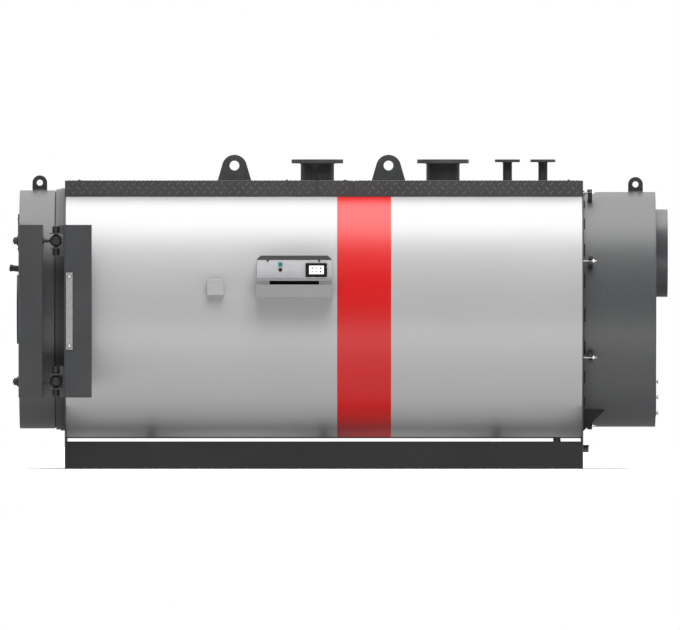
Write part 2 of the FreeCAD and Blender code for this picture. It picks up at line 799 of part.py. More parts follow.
# ---- control panel ----
def clear_of_casing(shape):
    return shape.cut(rod_x(casing_r + fit, casing_front_x, casing_rear_x))


def panel_box():
    x0, x1 = panel_box_x
    z0, z1 = [axis_z + rise for rise in panel_box_rise]
    return clear_of_casing(box(x0, x1, -casing_r - panel_out, -casing_r / 2, z0, z1))


console_front = -casing_r - panel_out + console_set_back  # at the foot of its face
console_z = tuple(axis_z + rise for rise in console_rise)
console_x = (panel_box_x[0] + console_inset, panel_box_x[1] - console_inset)


def panel_console():
    """The instrument housing: a leaning face on two feet, with an open slot between them over the lower box."""
    x0, x1 = console_x
    z0, z1 = console_z
    foot_z = axis_z + panel_box_rise[1]
    back = -casing_r / 2
    lean_y = console_front + console_lean
    side = [(x0, console_front, z0), (x0, lean_y, z1), (x0, back, z1), (x0, back, z0)]
    housing = prism(side, (x1 - x0, 0, 0))
    feet = [
        box(a, b, console_front + console_feet_set_back, back, foot_z, z0)
        for a, b in ((x0, x0 + console_foot_w), (x1 - console_foot_w, x1))
    ]
    sill = box(x0, x1, console_front - console_sill_out, back, z0 - console_plate_t, z0)
    back_wall = box(x0, x1, console_front + console_slot_depth, back, foot_z, z0)
    return clear_of_casing(fuse([housing, sill, back_wall] + feet))


def panel_lid():
    """The dark top cover, with its front and both ends sloped."""
    x0, x1 = console_x[0] - lid_overhang, console_x[1] + lid_overhang
    z0, z1 = console_z[1], console_z[1] + lid_h
    y0 = console_front + console_lean - lid_overhang
    y1 = -casing_r + lid_back
    bottom = [(x0, y0, z0), (x1, y0, z0), (x1, y1, z0), (x0, y1, z0)]
    top = [(x0 + lid_h, y0 + lid_h, z1), (x1 - lid_h, y0 + lid_h, z1), (x1 - lid_h, y1, z1), (x0 + lid_h, y1, z1)]
    wires = [Part.makePolygon([V(*p) for p in ring + ring[:1]]) for ring in (bottom, top)]
    return clear_of_casing(Part.makeLoft(wires, True, True))


def on_console_face(shape):
    """Leans a piece that was made upright over the foot of the console's face."""
    lean = math.atan2(console_lean, console_z[1] - console_z[0])
    placed = shape.copy()
    placed.rotate(V(0, console_front, console_z[0]), V(1, 0, 0), -math.degrees(lean))
    return placed


def upright_on_face(x0, x1, drop, height, thickness):
    z1 = console_z[1] - drop
    return box(x0, x1, console_front - thickness, console_front, z1 - height, z1)


def touch_screen():
    x1 = console_x[1] - screen_from_right
    return on_console_face(upright_on_face(x1 - screen_w, x1, screen_drop, screen_h, screen_t))


def panel_switches():
    """The square lamp switch and the round thermostat cap below it."""
    half = switch_size / 2
    top = switch_drop - half
    switch = upright_on_face(switch_x - half, switch_x + half, top, switch_size, switch_t)
    cap = rod_y(knob_r, console_front - knob_t, console_front, switch_x, console_z[1] - knob_drop)
    return Part.makeCompound([on_console_face(switch), on_console_face(cap)])


def sensor_box():
    z = axis_z + sensor_rise
    half_w, half_h = sensor_w / 2, sensor_h / 2
    return clear_of_casing(
        box(sensor_x - half_w, sensor_x + half_w, -casing_r - sensor_out, -casing_r / 2, z - half_h, z + half_h)
    )


def both_sides(left):
    """A piece made for the left side, and its mirror image on the right."""
    return Part.makeCompound([mirror_y(left), left])


def build():
    seam_1, seam_2 = casing_seams
    nozzle_solids = {name: nozzle(x, flange) for name, (x, flange) in nozzles.items()}
    return {
        "base_rails": both_sides(base_rail()),
        "base_cross_members": base_cross_members(),
        "front_end_plate": end_plate(front_x, wings=True),
        "rear_end_plate": end_plate(casing_rear_x, wings=False),
        "pressure_shell": pressure_shell(),
        "insulation": insulation(),
        "casing_front": casing(casing_front_x, seam_1),
        "casing_band": casing(seam_1, seam_2),
        "casing_rear": casing(seam_2, casing_rear_x),
        "casing_bottom_strip": casing_bottom_strip(),
        "front_tube_sheet": tube_sheet(front_x + tube_sheet_inset, furnace_hole=True),
        "rear_tube_sheet": tube_sheet(rear_x - tube_sheet_inset - tube_sheet_t, furnace_hole=False),
        "fire_tubes": fire_tubes(),
        "furnace": furnace(),
        "front_smoke_ring": front_smoke_ring(),
        "rear_smoke_ring": rear_smoke_ring(),
        "hinge_posts": both_sides(hinge_post()),
        "hinge_ears": hinge_ears(),
        "hinge_pins": hinge_pins(),
        "post_strip": post_strip(),
        "walkway_plates": walkway_plates(),
        "lifting_lugs": Part.makeCompound([lifting_lug(x) for x in lug_xs]),
        "flow_nozzle": nozzle_solids["flow"],
        "return_nozzle": nozzle_solids["return"],
        "safety_valve_nozzles": Part.makeCompound([nozzle_solids["safety_1"], nozzle_solids["safety_2"]]),
        "smokebox_shell": smokebox_shell(),
        "smokebox_end": smokebox_end(),
        "smokebox_clamps": smokebox_clamps(),
        "smokebox_studs": smokebox_studs(),
        "smokebox_gussets": both_sides(smokebox_gusset()),
        "smokebox_eye": eye_plate(smokebox_end_x - smokebox_eye_inset, axis_z + smokebox_r),
        "flue_socket": flue_socket(),
        "cleaning_cover": cleaning_cover(),
        "wing_nuts": wing_nuts(),
        "drain_pipe": drain_pipe(),
        "panel_box": panel_box(),
        "panel_console": panel_console(),
        "panel_lid": panel_lid(),
        "touch_screen": touch_screen(),
        "panel_switches": panel_switches(),
        "sensor_box": sensor_box(),
        "door_shell": door_shell(),
        "door_refractory": door_refractory(),
        "door_seal": door_seal(),
        "door_beams": both_sides(door_beam()),
        "door_eye_bolts": door_eye_bolts(),
        "door_eye": eye_plate(door_front + door_eye_inset, axis_z + door_r),
        "door_cover_plate": door_cover_plate(),
        "burner_plate": burner_plate(),
        "sight_tube": sight_tube(),
    }


os.makedirs("parts", exist_ok=True)
for node, shape in build().items():
    shape.exportStep(f"parts/{node}.step")
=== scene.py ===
import math

import bmesh
import bpy
from mathutils import Matrix, Vector


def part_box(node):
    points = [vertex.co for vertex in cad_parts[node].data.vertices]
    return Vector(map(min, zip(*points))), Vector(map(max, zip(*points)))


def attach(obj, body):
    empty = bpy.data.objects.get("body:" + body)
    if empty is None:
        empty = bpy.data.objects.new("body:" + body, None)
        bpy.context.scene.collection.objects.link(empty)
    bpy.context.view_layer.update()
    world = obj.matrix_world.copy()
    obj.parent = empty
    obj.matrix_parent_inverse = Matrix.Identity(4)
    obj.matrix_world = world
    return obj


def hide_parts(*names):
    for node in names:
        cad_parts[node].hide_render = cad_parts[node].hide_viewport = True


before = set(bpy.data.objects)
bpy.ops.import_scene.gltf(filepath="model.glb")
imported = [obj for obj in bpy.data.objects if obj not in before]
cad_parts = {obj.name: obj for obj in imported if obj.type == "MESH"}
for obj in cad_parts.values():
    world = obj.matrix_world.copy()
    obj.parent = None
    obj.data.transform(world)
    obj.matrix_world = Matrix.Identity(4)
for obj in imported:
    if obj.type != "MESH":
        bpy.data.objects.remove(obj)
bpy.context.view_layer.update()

# ---- The room ----
# A pale floor in a bright tent. Most of the light falls from a wide panel overhead,
# and a low band of it comes back from the walls. A soft lamp stands high in front of the object.
# The camera stands far off at mid height.
scene = bpy.context.scene
scene.view_settings.view_transform = "Standard"
# Each pair is a height, from 0 straight down to 1 straight up, and how bright the tent is there.
tent_front = [
    (0.000, 0.64),
    (0.100, 0.80),
    (0.179, 0.80),
    (0.228, 1.50),
    (0.273, 2.45),
    (0.329, 2.30),
    (0.379, 0.90),
    (0.430, 0.25),
    (0.500, 0.15),
    (0.750, 0.18),
    (0.933, 0.55),
    (0.957, 2.80),
    (0.973, 5.20),
    (0.985, 6.50),
    (0.999, 5.20),
]
tent_back = [
    (0.000, 0.20),
    (0.300, 0.25),
    (0.400, 0.40),
    (0.500, 0.30),
    (0.600, 0.60),
    (0.700, 1.20),
    (0.850, 1.70),
    (0.950, 3.20),
    (0.999, 5.00),
]
tent_most = 6.5
front_ends = -0.15
back_begins = 0.25
front_socket, back_socket, mixed_socket = 6, 7, 2  # the colour sockets of a mix node

tent = bpy.data.worlds.new("tent")
scene.world = tent
tent.use_nodes = True
tree = tent.node_tree
tree.nodes.clear()
direction = tree.nodes.new("ShaderNodeTexCoord")
split = tree.nodes.new("ShaderNodeSeparateXYZ")
height = tree.nodes.new("ShaderNodeMapRange")
height.inputs["From Min"].default_value = -1.0
depth = tree.nodes.new("ShaderNodeMapRange")
depth.inputs["From Min"].default_value = front_ends
depth.inputs["From Max"].default_value = back_begins
depth.interpolation_type = "SMOOTHSTEP"
walls = tree.nodes.new("ShaderNodeMix")
walls.data_type = "RGBA"
for part, side in ((tent_front, front_socket), (tent_back, back_socket)):
    ramp = tree.nodes.new("ShaderNodeValToRGB")
    for at, strength in part:
        shade = strength / tent_most
        stop = ramp.color_ramp.elements.new(at) if at else ramp.color_ramp.elements[0]
        stop.color = (shade, shade, shade, 1.0)
    ramp.color_ramp.elements.remove(ramp.color_ramp.elements[-1])
    tree.links.new(height.outputs["Result"], ramp.inputs["Fac"])
    tree.links.new(ramp.outputs["Color"], walls.inputs[side])
panel = tree.nodes.new("ShaderNodeBackground")
panel.inputs["Strength"].default_value = tent_most
backdrop = tree.nodes.new("ShaderNodeBackground")
backdrop.inputs["Color"].default_value = (1.0, 1.0, 1.0, 1.0)
seen = tree.nodes.new("ShaderNodeLightPath")
mixed = tree.nodes.new("ShaderNodeMixShader")
out = tree.nodes.new("ShaderNodeOutputWorld")
tree.links.new(direction.outputs["Generated"], split.inputs[0])
tree.links.new(split.outputs["Z"], height.inputs["Value"])
tree.links.new(split.outputs["Y"], depth.inputs["Value"])
tree.links.new(depth.outputs["Result"], walls.inputs["Factor"])
tree.links.new(walls.outputs[mixed_socket], panel.inputs["Color"])
tree.links.new(seen.outputs["Is Camera Ray"], mixed.inputs["Fac"])
tree.links.new(panel.outputs[0], mixed.inputs[1])
tree.links.new(backdrop.outputs[0], mixed.inputs[2])
tree.links.new(mixed.outputs[0], out.inputs["Surface"])

lamp_rise = math.radians(54.0)
lamp_turn = math.radians(12.0)
lamp_spread = math.radians(38.0)
lamp_strength = 1.6
lamp = bpy.data.lights.new("soft_lamp", "SUN")
lamp.energy = lamp_strength
lamp.angle = lamp_spread
lamp_stand = bpy.data.objects.new("soft_lamp", lamp)
lamp_stand.visible_glossy = False
lamp_stand.rotation_euler = (math.pi / 2 - lamp_rise, 0.0, lamp_turn)
scene.collection.objects.link(lamp_stand)

floor_radius = 30.0
floor_glow = 0.22
bm = bmesh.new()
bmesh.ops.create_circle(bm, cap_ends=True, segments=96, radius=floor_radius)
floor_mesh = bpy.data.meshes.new("floor")
bm.to_mesh(floor_mesh)
bm.free()
floor = bpy.data.objects.new("floor", floor_mesh)
scene.collection.objects.link(floor)
floor_paint = bpy.data.materials.new("floor_paint")
floor_paint.use_nodes = True
floor_shader = floor_paint.node_tree.nodes["Principled BSDF"]
floor_shader.inputs["Base Color"].default_value = (0.9, 0.9, 0.9, 1.0)
floor_shader.inputs["Roughness"].default_value = 0.9
floor_shader.inputs["Emission Color"].default_value = (1.0, 1.0, 1.0, 1.0)
floor_shader.inputs["Emission Strength"].default_value = floor_glow
floor_mesh.materials.append(floor_paint)
floor.visible_diffuse = False
floor.visible_glossy = False
floor.visible_shadow = False

lens_mm = 1500.0
sensor_mm = 36.0
view_width = 4.461  # of what the camera sees at the object
view_height = 1.009
view_x = 0.105
near_side = 0.45  # how far in front of the axis that width is measured
lens = bpy.data.cameras.new("far_lens")
lens.lens = lens_mm
lens.sensor_width = sensor_mm
lens.clip_start = 10.0
lens.clip_end = 400.0
camera = bpy.data.objects.new("camera", lens)
camera.location = (view_x, -near_side - view_width * lens_mm / sensor_mm, view_height)
camera.rotation_euler = (math.pi / 2, 0.0, 0.0)
scene.collection.objects.link(camera)
scene.camera = camera

# ---- Base: rails and cross members ----
# Two channels of folded plate lie along the skid, with plate cross members welded between them.
# They are shot blasted and welded, and sprayed a darker satin grey than the work above them.


def finish(
    name,
    colour,
    roughness,
    clouds=0.10,
    cloud_size=0.25,
    grain=0.00012,
    grain_size=0.004,
    metal=0.0,
    gleam=0.5,
):
    """A sprayed or rolled surface: faint clouds in its colour and gloss, and the fine grain of its skin."""
    made = bpy.data.materials.new(name)
    made.use_nodes = True
    tree = made.node_tree
    shader = tree.nodes["Principled BSDF"]
    shader.inputs["Metallic"].default_value = metal
    shader.inputs["Specular IOR Level"].default_value = gleam
    place = tree.nodes.new("ShaderNodeTexCoord")
    cloud = tree.nodes.new("ShaderNodeTexNoise")
    cloud.inputs["Scale"].default_value = 1.0 / cloud_size
    cloud.inputs["Detail"].default_value = 5.0
    tint = tree.nodes.new("ShaderNodeValToRGB")
    tint.color_ramp.elements[0].position = 0.3
    tint.color_ramp.elements[1].position = 0.7
    tint.color_ramp.elements[0].color = (*(c * (1.0 - clouds) for c in colour), 1.0)
    tint.color_ramp.elements[1].color = (*(min(1.0, c * (1.0 + clouds)) for c in colour), 1.0)
    gloss = tree.nodes.new("ShaderNodeMapRange")
    gloss.inputs["To Min"].default_value = roughness - 0.05
    gloss.inputs["To Max"].default_value = roughness + 0.05
    skin = tree.nodes.new("ShaderNodeTexNoise")
    skin.inputs["Scale"].default_value = 1.0 / grain_size
    skin.inputs["Detail"].default_value = 2.0
    bump = tree.nodes.new("ShaderNodeBump")
    bump.inputs["Distance"].default_value = grain
    tree.links.new(place.outputs["Object"], cloud.inputs["Vector"])
    tree.links.new(place.outputs["Object"], skin.inputs["Vector"])
    tree.links.new(cloud.outputs["Fac"], tint.inputs["Fac"])
    tree.links.new(cloud.outputs["Fac"], gloss.inputs["Value"])
    tree.links.new(skin.outputs["Fac"], bump.inputs["Height"])
    tree.links.new(tint.outputs["Color"], shader.inputs["Base Color"])
    tree.links.new(gloss.outputs["Result"], shader.inputs["Roughness"])
    tree.links.new(bump.outputs["Normal"], shader.inputs["Normal"])
    return made


def put_on(name, bm, paint, body, slot, *stands_for, crease=32):
    """Ends a piece: smooths its curves, paints it and fixes it to the body it moves with."""
    mesh = bpy.data.meshes.new(name)
    bm.to_mesh(mesh)
    bm.free()
    mesh.shade_smooth()
    mesh.set_sharp_from_angle(angle=math.radians(crease))
    mesh.materials.append(paint)
    made = bpy.data.objects.new(name, mesh)
    scene.collection.objects.link(made)
    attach(made, body)
    if stands_for:
        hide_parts(*stands_for)
    return made


def worked(node):
    """A clean copy of a piece as it was cut and folded, in whole plates in place of loose triangles."""
    bm = bmesh.new()
    bm.from_mesh(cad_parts[node].data)
    bmesh.ops.remove_doubles(bm, verts=bm.verts, dist=0.00001)
    bmesh.ops.dissolve_limit(bm, angle_limit=math.radians(0.4), verts=bm.verts, edges=bm.edges)
    return bm


def break_edges(made, width):
    """Takes the sharp corner off every edge, as a grinder and two coats of paint do."""
    rounding = made.modifiers.new("broken_edges", "BEVEL")
    rounding.width = width
    rounding.segments = 2
    rounding.limit_method = "ANGLE"
    rounding.angle_limit = math.radians(32)
    rounding.harden_normals = True


def as_cut(name, node, paint, body, slot, edge=0.0):
    """A piece that keeps the shape it was cut and folded to, with its sharp corners broken or left."""
    made = put_on(name, worked(node), paint, body, slot, node)
    if edge:
        break_edges(made, edge)


skid_paint = finish("skid_paint", (0.026, 0.0265, 0.0275), 0.5, gleam=0.3)
as_cut("skid_rails", "base_rails", skid_paint, "boiler", "dark_paint", 0.0018)
as_cut("skid_cross_members", "base_cross_members", skid_paint, "boiler", "dark_paint", 0.0015)

# ---- End plates ----
# Flat plates cut to shape stand on the floor at both ends of the casing and carry the walkway and the posts.
# They are 8 mm steel, welded to the rails, and have the dark grey satin paint of most of the frame.
dark_paint = finish("dark_satin_paint", (0.056, 0.0575, 0.060), 0.45, gleam=0.35)
for node in ("front_end_plate", "rear_end_plate"):
    as_cut(node + "_cut", node, dark_paint, "boiler", "dark_paint", 0.0012)

# ---- Pressure shell, furnace and tubes ----
# Rolled boiler plate and seamless tubes, welded in two drilled tube sheets. Nobody paints them.
# They keep the blue-black mill scale, with a brighter bead round each tube mouth and the furnace mouth.
mill_scale = finish(
    "mill_scale",
    (0.085, 0.08, 0.08),
    0.55,
    clouds=0.30,
    cloud_size=0.06,
    grain=0.0002,
    grain_size=0.003,
    metal=0.75,
)
weld_metal = finish(
    "weld_metal",
    (0.16, 0.15, 0.145),
    0.42,
    clouds=0.35,
    cloud_size=0.01,
    grain=0.0006,
    grain_size=0.0035,
    metal=0.9,
)
for node in ("pressure_shell", "front_tube_sheet", "rear_tube_sheet", "fire_tubes", "furnace"):
    as_cut(node + "_plate", node, mill_scale, "boiler", "mill_steel")


def turned(bm, outline, foot, axis, steps=32, closed=False):
    """Turns an outline of (distance along, radius) about an axis, as on a lathe."""
    side = axis.orthogonal().normalized()
    points = [bm.verts.new(foot + axis * along + side * radius) for along, radius in outline]
    pairs = list(zip(points, points[1:]))
    if closed:
        pairs.append((points[-1], points[0]))
    edges = [bm.edges.new(pair) for pair in pairs]
    before = set(bm.faces)
    bmesh.ops.spin(bm, geom=points + edges, cent=foot, axis=axis, angle=math.tau, steps=steps, use_merge=True)
    made = [face for face in bm.faces if face not in before]
    corners = list({corner for face in made for corner in face.verts})
    bmesh.ops.remove_doubles(bm, verts=corners, dist=0.000002)
    made = [face for face in bm.faces if face not in before]
    bmesh.ops.recalc_face_normals(bm, faces=made)


def weld_ring(bm, foot, axis, radius, size, steps=48):
    """A fillet weld laid round a pipe or a mouth."""
    outline = [
        (-0.3 * size, radius - 0.6 * size),
        (-0.3 * size, radius + size),
        (0.3 * size, radius + 0.85 * size),
        (0.85 * size, radius + 0.3 * size),
        (size, radius - 0.6 * size),
    ]
    turned(bm, outline, foot, axis, steps, closed=True)


along_x = Vector((1.0, 0.0, 0.0))
upward = Vector((0.0, 0.0, 1.0))
tube_mouth_weld = 0.004
furnace_mouth_weld = 0.010
tube_body = worked("fire_tubes")
unseen = set(tube_body.verts)
mouths = []
for first in tube_body.verts:
    if first not in unseen:
        continue
    unseen.remove(first)
    group = [first]
    tube_verts = [first]
    while group:
        corner = group.pop()
        for edge in corner.link_edges:
            other = edge.other_vert(corner)
            if other in unseen:
                unseen.remove(other)
                group.append(other)
                tube_verts.append(other)
    low = Vector([min(v.co[k] for v in tube_verts) for k in range(3)])
    high = Vector([max(v.co[k] for v in tube_verts) for k in range(3)])
    mouths.append(((low + high) / 2, (high.z - low.z) / 2))
tube_body.free()
sheet_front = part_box("front_tube_sheet")[0].x
sheet_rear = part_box("rear_tube_sheet")[1].x
bm = bmesh.new()
for middle, radius in mouths:
    for x, outward in ((sheet_front, -along_x), (sheet_rear, along_x)):
        weld_ring(bm, Vector((x, middle.y, middle.z)), outward, radius, tube_mouth_weld, 16)
put_on("tube_mouth_welds", bm, weld_metal, "boiler", "mill_steel")

furnace_low, furnace_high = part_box("furnace")
axis_z = (furnace_low.z + furnace_high.z) / 2
furnace_radius = (furnace_high.z - furnace_low.z) / 2
bm = bmesh.new()
weld_ring(bm, Vector((sheet_front, 0.0, axis_z)), -along_x, furnace_radius, furnace_mouth_weld, 96)
put_on("furnace_mouth_weld", bm, weld_metal, "boiler", "mill_steel")

# ---- Insulation ----
# Mats of mineral wool lie round the shell under the casing, held with wire.
# They are a dull yellow brown and loose in the pile; only their edge can be seen, under the walkway.
wool = finish(
    "mineral_wool",
    (0.42, 0.36, 0.20),
    0.95,
    clouds=0.30,
    cloud_size=0.03,
    grain=0.004,
    grain_size=0.006,
)
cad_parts["insulation"].data.materials.clear()
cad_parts["insulation"].data.materials.append(wool)

# ---- Casing ----
# Three turns of 2 mm sheet close the insulation: two pale grey and a red band between them.
# The sheets are powder coated, smooth and fairly glossy, and lie in slight waves over the mats.
waves_in_a_metre = 2.2
wave_height = 0.004


def casing_finish(name, colour, metal):
    """A coated sheet: the sprayed skin with a long, very shallow wave under it."""
    made = finish(
        name,
        colour,
        0.38,
        clouds=0.015,
        cloud_size=0.8,
        grain=0.00003,
        grain_size=0.002,
        metal=metal,
    )
    tree = made.node_tree
    shader = tree.nodes["Principled BSDF"]
    place = tree.nodes["Texture Coordinate"]
    wave = tree.nodes.new("ShaderNodeTexNoise")
    wave.inputs["Scale"].default_value = waves_in_a_metre
    wave.inputs["Detail"].default_value = 1.0
    swell = tree.nodes.new("ShaderNodeBump")
    swell.inputs["Distance"].default_value = wave_height
    swell.inputs["Strength"].default_value = 0.6
    fine = shader.inputs["Normal"].links[0].from_node
    tree.links.new(place.outputs["Object"], wave.inputs["Vector"])
    tree.links.new(wave.outputs["Fac"], swell.inputs["Height"])
    tree.links.new(swell.outputs["Normal"], fine.inputs["Normal"])
    return made


pale_coat = casing_finish("pale_grey_coat", (0.455, 0.455, 0.458), 0.10)
red_coat = casing_finish("red_coat", (0.605, 0.008, 0.009), 0.0)
as_cut("front_casing_sheet", "casing_front", pale_coat, "boiler", "casing_enamel")
as_cut("red_band_sheet", "casing_band", red_coat, "boiler", "band_enamel")
as_cut("rear_casing_sheet", "casing_rear", pale_coat, "boiler", "casing_enamel")

# ---- Bottom strip ----
# A strip covers the joint where the casing sheets meet at the lowest point.
# It is flat steel, 84 mm wide and 7 mm thick, with the dark paint of the frame.
as_cut("casing_joint_strip", "casing_bottom_strip", dark_paint, "boiler", "dark_paint")

# ---- Walkway ----
# Folded plates of tread pattern run the length of the top, cut out round the nozzles and lugs.
# They are sprayed dark and held down by round-headed bolts along each edge, with straps behind their seams.
walk_low, walk_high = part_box("walkway_plates")
tread_paint = finish("tread_paint", (0.055, 0.056, 0.058), 0.42)
as_cut("walkway_folded_plates", "walkway_plates", tread_paint, "boiler", "dark_paint", 0.0015)

tread_pitch = 0.057
tread_row = 0.0285
tread_rows = 14  # on each side of the middle one
side_rows = 1
top_row_squeeze = 0.96
tread_length = 0.042
tread_width = 0.0085
tread_height = 0.0022


def tread(bm, middle, out, turn):
    """One raised lozenge of the tread pattern, lying on the face whose outward direction is given."""
    place = Matrix.Translation(middle) @ out.to_track_quat("Z", "Y").to_matrix().to_4x4()
    place = place @ Matrix.Rotation(turn, 4, "Z") @ Matrix.Diagonal((tread_length, tread_width, 1.0, 1.0))
    bmesh.ops.create_cone(
        bm, cap_ends=True, segments=8, radius1=0.5, radius2=0.3, depth=2.0 * tread_height, matrix=place
    )


seams = (walk_low.x, -0.044, 0.194, walk_high.x)
seam_clear = 0.022
edge_clear = 0.020
large_nozzle_x = (-0.044, 0.782)
small_nozzle_x = (1.206, 1.439)
lug_x = (-0.589, 0.424)
cut_outs = [(x, 0.150) for x in large_nozzle_x]
cut_outs += [(x, 0.070) for x in small_nozzle_x]
cut_outs += [(x, 0.135) for x in lug_x]
tread_z = walk_high.z - 0.050
bm = bmesh.new()
for step in range(int((walk_high.x - walk_low.x) / tread_pitch)):
    for row in range(-tread_rows, tread_rows + 1):
        x = walk_low.x + (step + 0.5 + 0.5 * (row % 2)) * tread_pitch
        if min(abs(x - seam) for seam in seams) < seam_clear:
            continue
        turn = math.radians(45 if row % 2 else -45)
        if abs(row) <= side_rows:
            for out in (-1.0, 1.0):
                middle = Vector((x, out * walk_high.y, tread_z + row * tread_row))
                tread(bm, middle, Vector((0.0, out, 0.0)), turn)
        y = row * tread_row * top_row_squeeze
        if abs(y) > walk_high.y - edge_clear:
            continue
        if any(math.hypot(x - middle_x, y) < reach for middle_x, reach in cut_outs):
            continue
        tread(bm, Vector((x, y, walk_high.z)), upward, turn)
# The lozenges are painted a lighter grey than the plate: a painted highlight on the raised tread pattern.
lozenge_painted_highlight = finish(
    "lozenge_painted_highlight",
    (0.15, 0.15, 0.155),
    0.38,
    clouds=0.25,
    cloud_size=0.03,
    grain=0.0001,
    grain_size=0.002,
    metal=0.2,
)
put_on("tread_lozenges", bm, lozenge_painted_highlight, "boiler", "dark_paint")


def rounded(bm, edges, width, segments=2):
    """Rounds some edges of a piece that is still being made."""
    bmesh.ops.bevel(
        bm,
        geom=edges,
        offset=width,
        offset_type="OFFSET",
        segments=segments,
        profile=0.5,
        affect="EDGES",
        material=-1,
    )


walk_thick = 0.005
strap_width = 0.040
strap_thick = 0.004
strap_height = 0.086
strap_drop = 0.052
bm = bmesh.new()
for x in seams[1:3]:
    for side in (-1.0, 1.0):
        middle = Vector((x, side * (walk_high.y - walk_thick - strap_thick / 2), walk_high.z - strap_drop))
        size = Matrix.Diagonal((strap_width, strap_thick, strap_height, 1.0))
        bmesh.ops.create_cube(bm, size=1.0, matrix=Matrix.Translation(middle) @ size)
rounded(bm, bm.edges[:], 0.001)
put_on("walkway_joint_straps", bm, tread_paint, "boiler", "dark_paint")

walk_bolts = (-1.607, -0.244, 0.138, 1.607)
walk_bolt_in = 0.016
round_head = [(0.0, 0.0), (0.0, 0.0095), (0.003, 0.0095), (0.0065, 0.006), (0.008, 0.0)]
bm = bmesh.new()
for x in walk_bolts:
    for side in (-1.0, 1.0):
        foot = Vector((x, side * (walk_high.y - walk_bolt_in), walk_high.z))
        turned(bm, round_head, foot, upward, 16)
put_on("walkway_bolt_heads", bm, dark_paint, "boiler", "dark_paint")

# ---- Lifting lugs ----
# Two thick plates with a round head and a shackle hole stand on the shell, through the walkway.
# They are flame cut, ground, and welded all round at the foot.
lug_paint = finish(
    "lug_paint", (0.088, 0.090, 0.093), 0.45, clouds=0.12, cloud_size=0.08, grain=0.0002, grain_size=0.003
)
as_cut("shackle_lugs", "lifting_lugs", lug_paint, "boiler", "dark_paint", 0.003)

# ---- Nozzles ----
# Four short pipes with flat flanges: flow and return at DN200, and two for safety valves at DN50.
# The flanges are turned and drilled, with weld rings under them, and everything is sprayed dark.
nozzle_paint = finish(
    "nozzle_paint", (0.086, 0.088, 0.091), 0.40, clouds=0.12, cloud_size=0.12, grain=0.0001, grain_size=0.003
)
# The pipes are a shade darker than their flanges: painted shade under the flanges.
pipe_shade_paint = finish(
    "nozzle_pipe_shade_paint",
    (0.074, 0.0745, 0.076),
    0.36,
    clouds=0.12,
    cloud_size=0.12,
    grain=0.0001,
    grain_size=0.003,
)
large_flange, large_pipe = 0.026, 0.1095
small_flange, small_pipe = 0.018, 0.0302
large_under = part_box("flow_nozzle")[1].z - large_flange
small_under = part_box("safety_valve_nozzles")[1].z - small_flange
for node, under in (
    ("flow_nozzle", large_under),
    ("return_nozzle", large_under),
    ("safety_valve_nozzles", small_under),
):
    bm = worked(node)
    for face in bm.faces:
        face.material_index = 1 if face.calc_center_median().z < under - 0.001 else 0
    made = put_on(node + "_turned", bm, nozzle_paint, "boiler", "dark_paint", node)
    made.data.materials.append(pipe_shade_paint)
    break_edges(made, 0.0012)
bm = bmesh.new()
for x in large_nozzle_x:
    weld_ring(bm, Vector((x, 0.0, large_under)), -upward, large_pipe, 0.006, 64)
for x in small_nozzle_x:
    weld_ring(bm, Vector((x, 0.0, small_under)), -upward, small_pipe, 0.004, 40)
put_on("flange_welds", bm, nozzle_paint, "boiler", "dark_paint")

# ---- Smoke rings ----
# Rolled flanges on both ends of the shell, that the front door and the smoke box close on.
# Near-black links are painted round the rear joint as painted shade, for the dark slots in the joint between
# flange and smoke box.
as_cut("front_smoke_flange", "front_smoke_ring", dark_paint, "boiler", "dark_paint", 0.0012)
as_cut("rear_smoke_flange", "rear_smoke_ring", dark_paint, "boiler", "dark_paint")

link_count = 22
link_first = math.radians(2.5)
link_span = math.radians(6.6)
link_x = 1.7075
link_radius = 0.0042
link_widen = 1.3
link_lift = 0.0036
joint_slot_shade = finish(
    "link_painted_shade", (0.012, 0.012, 0.013), 0.7, clouds=0.3, cloud_size=0.02, grain=0.0006, grain_size=0.003
)
smoke_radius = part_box("smokebox_shell")[1].z - axis_z
bm = bmesh.new()
for link in range(link_count):
    start = link_first + math.tau * link / link_count - link_span / 2
    place = Matrix.Translation((link_x, 0.0, axis_z)) @ Matrix.Rotation(start, 4, "X")
    place = place @ Matrix.Translation((0.0, -smoke_radius - link_lift, 0.0))
    ring = bmesh.ops.create_circle(
        bm, segments=8, radius=link_radius, matrix=place @ Matrix.Diagonal((link_widen, 1.0, 1.0, 1.0))
    )
    edges = list({edge for corner in ring["verts"] for edge in corner.link_edges})
    bmesh.ops.spin(
        bm,
        geom=ring["verts"] + edges,
        cent=(link_x, 0.0, axis_z),
        axis=along_x,
        angle=link_span,
        steps=8,
    )
    ends = [edge for edge in bm.edges if edge.is_boundary]
    bmesh.ops.holes_fill(bm, edges=ends)
bmesh.ops.recalc_face_normals(bm, faces=bm.faces)
put_on("joint_slot_shade_links", bm, joint_slot_shade, "boiler", "dark_paint")

# ---- Smoke box ----
# A drum of rolled sheet with a flat end is clamped to the rear flange and collects the flue gas.
# It is sprayed with a hammered blue-grey paint that takes heat, with a fine rough grain.
hammered = finish(
    "hammered_heat_paint", (0.078, 0.080, 0.0825), 0.36, cloud_size=0.012, grain=0.0010, grain_size=0.006
)
flue_paint = finish(
    "flue_paint", (0.070, 0.073, 0.077), 0.34, clouds=0.08, cloud_size=0.15, grain=0.00006, grain_size=0.003
)
as_cut("smoke_box_drum", "smokebox_shell", hammered, "boiler", "dark_paint", 0.0012)
as_cut("smoke_box_end", "smokebox_end", hammered, "boiler", "dark_paint", 0.0015)
as_cut("flue_spigot", "flue_socket", flue_paint, "boiler", "dark_paint", 0.0012)
flue_low, flue_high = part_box("flue_socket")
flue_z = (flue_low.z + flue_high.z) / 2
flue_radius = (flue_high.z - flue_low.z) / 2
end_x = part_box("smokebox_end")[1].x
bm = bmesh.new()
